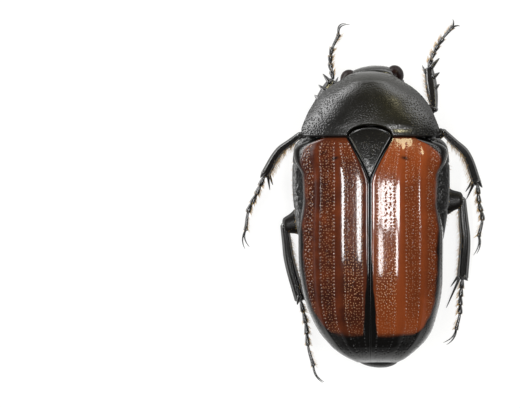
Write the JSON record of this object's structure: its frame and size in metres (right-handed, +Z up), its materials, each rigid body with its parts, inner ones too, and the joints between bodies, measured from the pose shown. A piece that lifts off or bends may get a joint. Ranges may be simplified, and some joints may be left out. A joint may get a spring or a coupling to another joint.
{
  "type": "flower beetle specimen",
  "caption": "Still, life-size model of a dried flower beetle: glossy domed wing cases over a dark body, legs spread flat with the feet on the floor.",
  "frame": {"origin": "on the floor, below the middle of the beetle's overall box, feet included", "axes": "+Y to the head along the body, +X to the beetle's right, +Z up from the floor"},
  "size_m": [0.0198, 0.0294, 0.0097],
  "materials": {
    "black_cuticle": "hard glossy cuticle, finely pitted",
    "chestnut_cuticle": "hard glossy cuticle, finely pitted",
    "eye": "smooth and shiny",
    "dark_limb": "glossy cuticle with a thin fringe of hair"
  },
  "bodies": {
    "root": {"head": "black_cuticle", "mouthparts": "black_cuticle", "antenna_left": "black_cuticle", "antenna_right": "black_cuticle", "eye_left": "eye", "eye_right": "eye", "prothorax": "black_cuticle", "scutellum": "black_cuticle", "elytron_left": "chestnut_cuticle", "elytron_right": "chestnut_cuticle", "thorax": "black_cuticle", "abdomen": "black_cuticle", "pygidium": "black_cuticle", "leg_fore_left_femur": "dark_limb", "leg_fore_left_tibia": "dark_limb", "leg_fore_left_tarsus": "dark_limb", "leg_fore_right_femur": "dark_limb", "leg_fore_right_tibia": "dark_limb", "leg_fore_right_tarsus": "dark_limb", "leg_mid_left_femur": "dark_limb", "leg_mid_left_tibia": "dark_limb", "leg_mid_left_tarsus": "dark_limb", "leg_mid_right_femur": "dark_limb", "leg_mid_right_tibia": "dark_limb", "leg_mid_right_tarsus": "dark_limb", "leg_hind_left_femur": "dark_limb", "leg_hind_left_tibia": "dark_limb", "leg_hind_left_tarsus": "dark_limb", "leg_hind_right_femur": "dark_limb", "leg_hind_right_tibia": "dark_limb", "leg_hind_right_tarsus": "dark_limb"}
  },
  "joints": []
}
